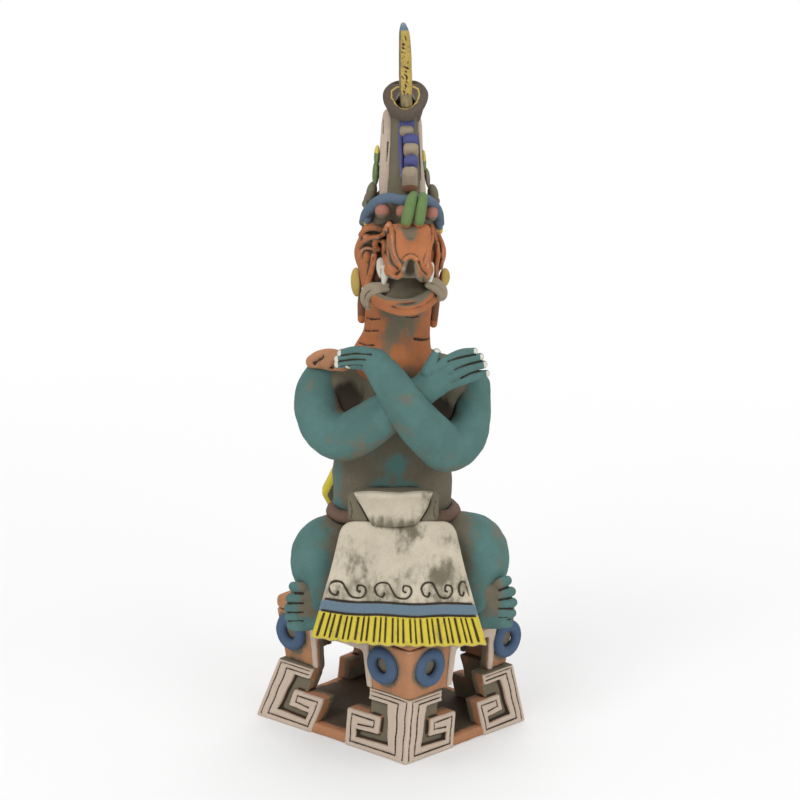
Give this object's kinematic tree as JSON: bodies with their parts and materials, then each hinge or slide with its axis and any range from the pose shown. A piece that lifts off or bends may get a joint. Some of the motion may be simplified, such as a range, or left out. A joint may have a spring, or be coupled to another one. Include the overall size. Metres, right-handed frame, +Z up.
{
  "type": "ceramic rain god figurine",
  "caption": "Hand-built clay figurine of a seated dragon-faced rain god with crossed arms, apron and leaf crest, on an openwork fret base.",
  "frame": {"origin": "middle of the base's resting face", "axes": "+Z up through the figure to the plume; the figure faces -Y; +X to the viewer's right; the base is turned 46.4 degrees under it"},
  "size_m": [0.1341, 0.133, 0.359],
  "materials": {
    "blue": "matte slate blue paint",
    "brown": "brown-grey wash over terracotta",
    "cream": "cream slip over terracotta, wiped with brown wash",
    "green": "matte leaf green paint",
    "grey": "matte warm grey paint",
    "orange": "matte orange terracotta with grey-brown wash",
    "pink": "matte dusty pink paint",
    "teal": "matte teal paint with brown-grey wash",
    "terracotta": "matte fired terracotta with cream slip and brown wash",
    "violet": "matte violet blue paint",
    "white": "matte off-white paint",
    "yellow": "matte yellow paint"
  },
  "bodies": {
    "root": {"apron": "cream", "apron_flap": "cream", "arm_left": "teal", "arm_right": "teal", "back_pouch": "brown", "base_floor": "terracotta", "belt_coil": "pink", "brow_bead_left": "pink", "brow_bead_middle": "pink", "brow_bead_right": "pink", "corner_post_back": "terracotta", "corner_post_front": "terracotta", "corner_post_left": "terracotta", "corner_post_right": "terracotta", "crest_core": "brown", "crest_leaf_left": "cream", "crest_leaf_right": "cream", "crest_scales_blue": "violet", "crest_scales_grey": "grey", "ear_disc_left": "yellow", "ear_disc_right": "yellow", "ear_pendant_left": "pink", "ear_pendant_right": "pink", "finial_cup": "brown", "finial_plume": "yellow", "foot_left": "teal", "foot_right": "teal", "fret_corner_back": "cream", "fret_corner_front": "cream", "fret_corner_left": "cream", "fret_corner_right": "cream", "hand_left": "teal", "hand_right": "teal", "head": "orange", "headband": "blue", "knot_loop_left": "green", "knot_loop_right": "green", "leg_left": "teal", "leg_right": "teal", "lower_jaw": "orange", "neck": "orange", "ring_studs_back": "blue", "ring_studs_front": "blue", "ring_studs_left": "blue", "ring_studs_right": "blue", "seat_slab": "terracotta", "shoulder_pad": "orange", "side_feathers_left": "yellow", "side_feathers_right": "yellow", "snout": "orange", "tooth_left": "white", "tooth_right": "white", "torso": "brown", "whisker_left": "grey", "whisker_right": "grey", "window_frame_back_left": "cream", "window_frame_back_right": "cream", "window_frame_front_left": "cream", "window_frame_front_right": "cream"}
  },
  "joints": []
}
